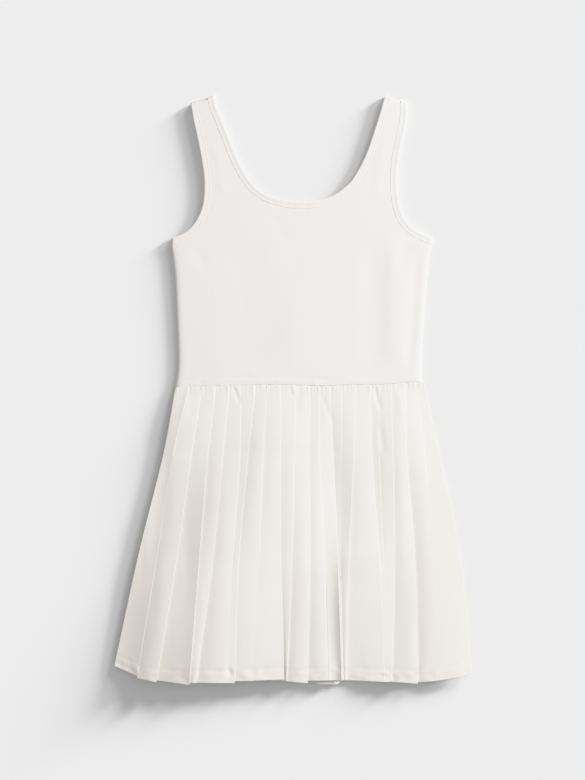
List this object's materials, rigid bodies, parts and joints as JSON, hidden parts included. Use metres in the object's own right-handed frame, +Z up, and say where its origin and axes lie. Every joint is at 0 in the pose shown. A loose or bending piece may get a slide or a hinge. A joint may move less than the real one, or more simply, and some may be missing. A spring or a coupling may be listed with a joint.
{
  "type": "tennis dress",
  "caption": "Sleeveless scoop-neck knit tank bodice with bound neck and armholes, sewn at the waist to a knife-pleated skirt, laid out flat and face up",
  "frame": {"origin": "on the surface that the dress lies on, under the middle of its outline from above", "axes": "+X to the right as the laid-out dress is seen from above with its shoulders away from you, +Y from the hem to the shoulders, +Z up off the surface"},
  "size_m": [0.5104, 0.8422, 0.0155],
  "materials": {
    "knit": "smooth matt white double knit",
    "pleated_cloth": "crisp light white woven cloth, heat-set pleats, faint sheen",
    "binding": "folded self binding of the same white knit, stitched"
  },
  "bodies": {
    "root": {"bodice_front": "knit", "bodice_back": "knit", "skirt_front": "pleated_cloth", "skirt_back": "pleated_cloth", "neck_binding": "binding", "armhole_binding_left": "binding", "armhole_binding_right": "binding"}
  },
  "joints": []
}
